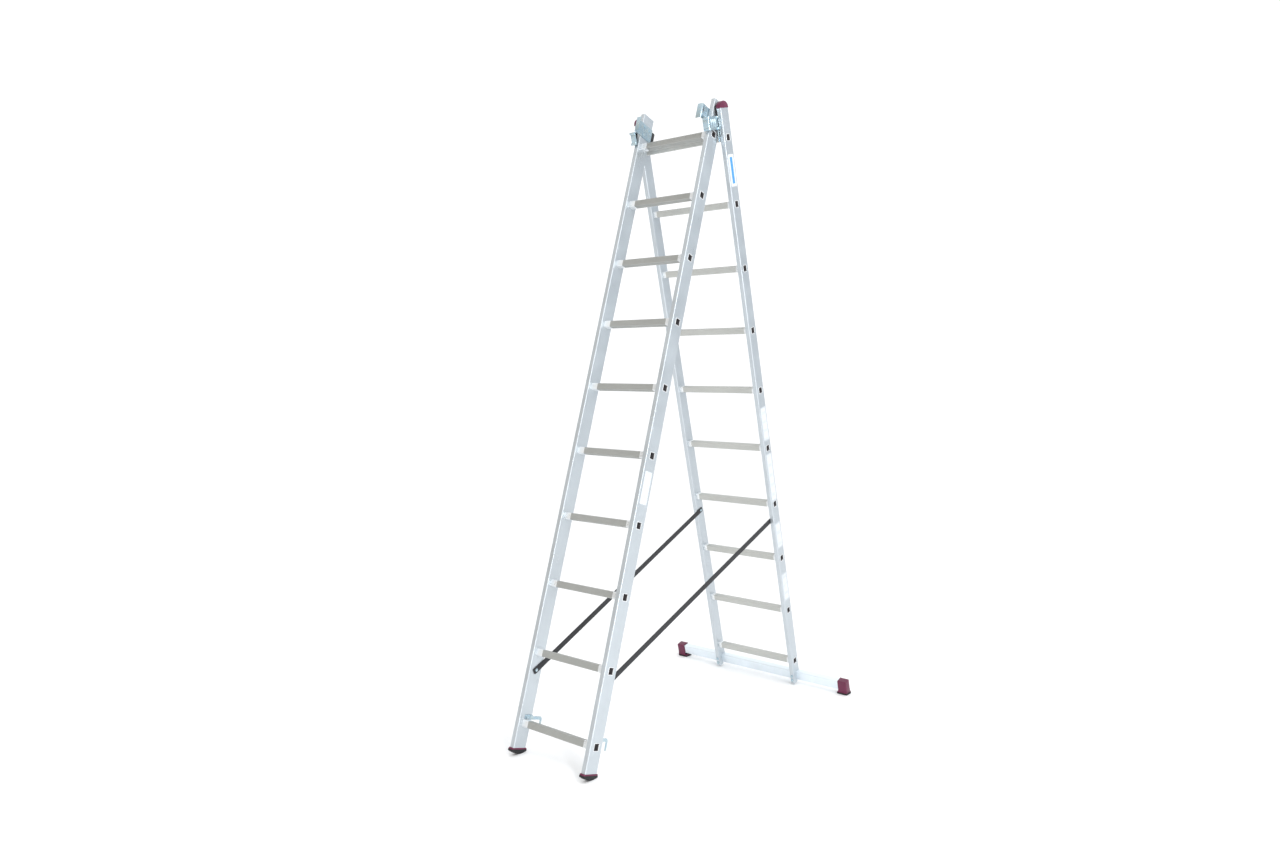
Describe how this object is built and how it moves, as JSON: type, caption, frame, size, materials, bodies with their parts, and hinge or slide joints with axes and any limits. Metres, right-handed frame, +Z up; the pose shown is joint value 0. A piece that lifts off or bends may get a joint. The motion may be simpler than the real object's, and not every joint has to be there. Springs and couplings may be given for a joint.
{
  "type": "extension ladder",
  "caption": "Aluminium combination ladder standing as an A-frame, with a sliding front section, a wide stabiliser bar, spreader straps and burgundy caps.",
  "frame": {"origin": "centre of the footprint's bounding box, on the ground", "axes": "+Z up, +X across the rungs to the right of someone who faces the front section, -Y towards the front section"},
  "size_m": [1, 1.6212, 2.6974],
  "materials": {
    "stile_aluminium": "satin extruded",
    "rung_aluminium": "mill finish, ribbed",
    "zinc_steel": "zinc plated",
    "burgundy_plastic": "moulded, satin",
    "black_plastic": "moulded",
    "black_rubber": "matt",
    "webbing": "woven",
    "label_film": "printed film, blank"
  },
  "bodies": {
    "rear_section": {"rear_stile_left": "stile_aluminium", "rear_stile_right": "stile_aluminium", "rear_rung_1": "rung_aluminium", "rear_rung_2": "rung_aluminium", "rear_rung_3": "rung_aluminium", "rear_rung_4": "rung_aluminium", "rear_rung_5": "rung_aluminium", "rear_rung_6": "rung_aluminium", "rear_rung_7": "rung_aluminium", "rear_rung_8": "rung_aluminium", "rear_rung_9": "rung_aluminium", "rear_rung_10": "rung_aluminium", "rear_top_cap_left": "burgundy_plastic", "rear_top_cap_right": "burgundy_plastic", "rear_cap_glides": "black_plastic", "crossbar_tube": "stile_aluminium", "crossbar_end_cap_left": "burgundy_plastic", "crossbar_end_cap_right": "burgundy_plastic", "crossbar_sole_left": "black_rubber", "crossbar_sole_right": "black_rubber", "crossbar_bolts": "zinc_steel", "guide_bracket_left": "zinc_steel", "guide_bracket_right": "zinc_steel", "guide_bracket_pads": "black_plastic", "guide_bracket_rivets": "zinc_steel", "strap_left": "webbing", "strap_right": "webbing", "strap_rivets_rear": "zinc_steel", "labels_rear": "label_film"},
    "top_saddles": {"hinge_saddle_left": "black_plastic", "hinge_saddle_right": "black_plastic"},
    "front_section": {"front_stile_left": "stile_aluminium", "front_stile_right": "stile_aluminium", "front_rung_1": "rung_aluminium", "front_rung_2": "rung_aluminium", "front_rung_3": "rung_aluminium", "front_rung_4": "rung_aluminium", "front_rung_5": "rung_aluminium", "front_rung_6": "rung_aluminium", "front_rung_7": "rung_aluminium", "front_rung_8": "rung_aluminium", "front_rung_9": "rung_aluminium", "front_rung_10": "rung_aluminium", "foot_cap_left": "burgundy_plastic", "foot_cap_right": "burgundy_plastic", "foot_sole_left": "black_rubber", "foot_sole_right": "black_rubber", "rung_hook_left": "zinc_steel", "rung_hook_right": "zinc_steel", "rung_hook_rivets": "zinc_steel", "top_hook_plate_left": "zinc_steel", "top_hook_plate_right": "zinc_steel", "top_hook_plate_rivets": "zinc_steel", "strap_rivets_front": "zinc_steel", "label_front": "label_film"}
  },
  "joints": [
    {"name": "fold", "type": "hinge", "parent": "rear_section", "child": "top_saddles", "pos_m": [0, 0.00927, 2.54097], "axis": [1, 0, 0], "range_deg": [0, 31.2], "deforming": ["strap_left", "strap_right"]},
    {"name": "extend", "type": "slide", "parent": "top_saddles", "child": "front_section", "axis": [0, 0.2723, 0.9622], "range_m": [0, 1.9]}
  ]
}
